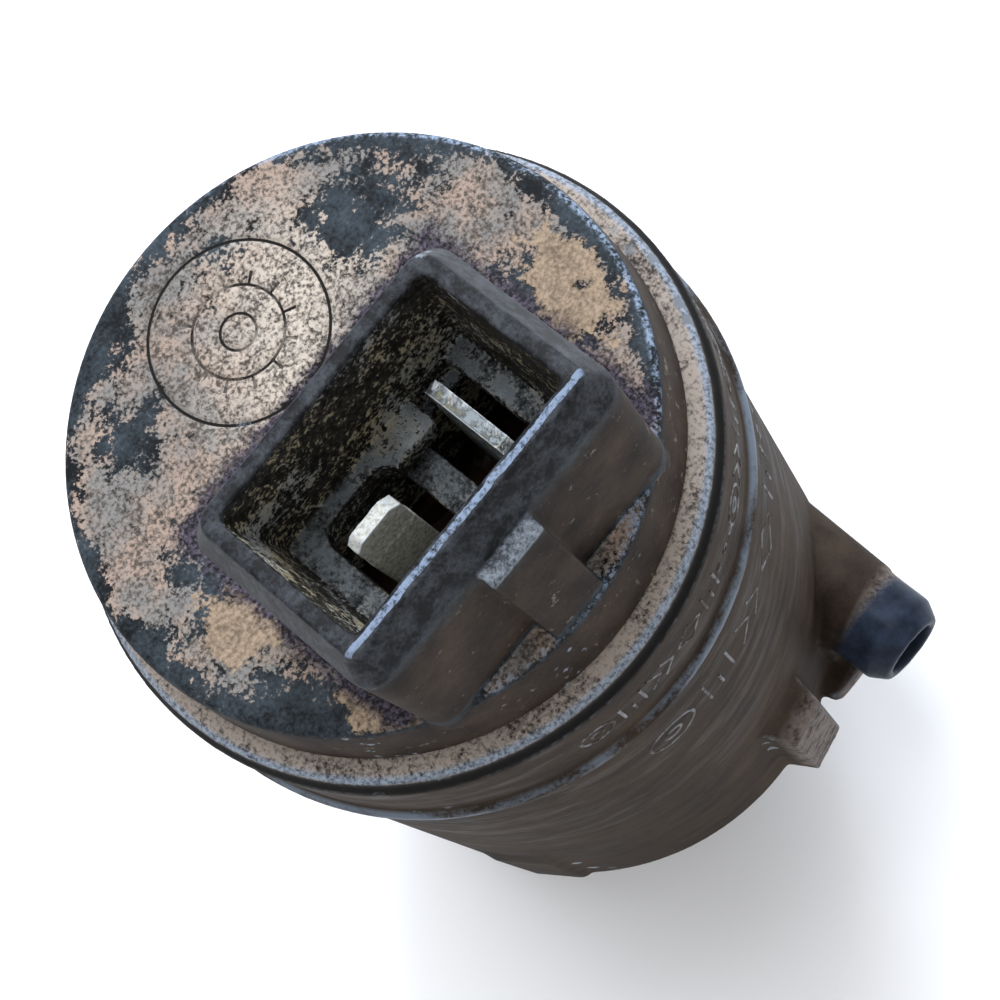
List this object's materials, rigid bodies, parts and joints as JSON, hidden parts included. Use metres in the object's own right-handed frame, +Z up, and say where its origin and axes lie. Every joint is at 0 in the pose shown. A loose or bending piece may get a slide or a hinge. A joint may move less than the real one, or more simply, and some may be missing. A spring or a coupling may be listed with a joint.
{
  "type": "windscreen washer pump",
  "caption": "Small round motor pump for screen wash, with a two-blade plug socket on top, a tangential hose spigot and an inlet nipple below.",
  "frame": {"origin": "on the motor axis at the casing's underside, where the inlet nipple starts", "axes": "+Z up the motor axis towards the plug socket, X along the socket's long side, -Y towards the socket's latch and the outlet's open end"},
  "size_m": [0.0329, 0.0355, 0.0688],
  "materials": {
    "cap_plastic": "moulded black nylon, dusty",
    "casing_plastic": "moulded brown-black plastic, weathered",
    "cover_plastic": "moulded black plastic",
    "tinned_brass": "tin plated, corroded",
    "brush_plate_resin": "brown phenolic resin",
    "leaf_bronze": "rolled spring strip",
    "brush_carbon": "pressed carbon",
    "bush_bronze": "sintered bronze",
    "can_steel": "zinc plated, deep drawn",
    "magnet_ferrite": "sintered ferrite",
    "clip_steel": "blued spring strip",
    "seal_rubber": "moulded nitrile",
    "retainer_steel": "stamped",
    "gasket_rubber": "moulded ring",
    "strainer_plastic": "moulded natural nylon",
    "shaft_steel": "ground",
    "core_steel": "stacked laminations",
    "copper_wire": "enamelled copper",
    "commutator_resin": "moulded phenolic",
    "commutator_copper": "turned copper",
    "washer_fibre": "pressed fibre",
    "impeller_plastic": "moulded acetal"
  },
  "bodies": {
    "pump": {"end_cap": "cap_plastic", "pump_casing": "casing_plastic", "wide_terminal": "tinned_brass", "narrow_terminal": "tinned_brass", "brush_plate": "brush_plate_resin", "right_brush_leaf": "leaf_bronze", "left_brush_leaf": "leaf_bronze", "right_carbon_brush": "brush_carbon", "left_carbon_brush": "brush_carbon", "upper_bush": "bush_bronze", "motor_can": "can_steel", "right_magnet": "magnet_ferrite", "left_magnet": "magnet_ferrite", "front_magnet_clip": "clip_steel", "back_magnet_clip": "clip_steel", "lower_bush": "bush_bronze", "shaft_seal": "seal_rubber", "seal_retainer": "retainer_steel", "cover_gasket": "gasket_rubber", "inlet_cover": "cover_plastic", "inlet_strainer": "strainer_plastic"},
    "rotor": {"motor_shaft": "shaft_steel", "armature_core": "core_steel", "winding_1": "copper_wire", "winding_2": "copper_wire", "winding_3": "copper_wire", "commutator_hub": "commutator_resin", "commutator_segments": "commutator_copper", "lower_thrust_washer": "washer_fibre", "upper_thrust_washer": "washer_fibre", "impeller": "impeller_plastic"}
  },
  "joints": [
    {"name": "rotor_spin", "type": "hinge", "parent": "pump", "child": "rotor", "pos_m": [0, 0, 0.02], "axis": [0, 0, 1], "continuous": true}
  ]
}
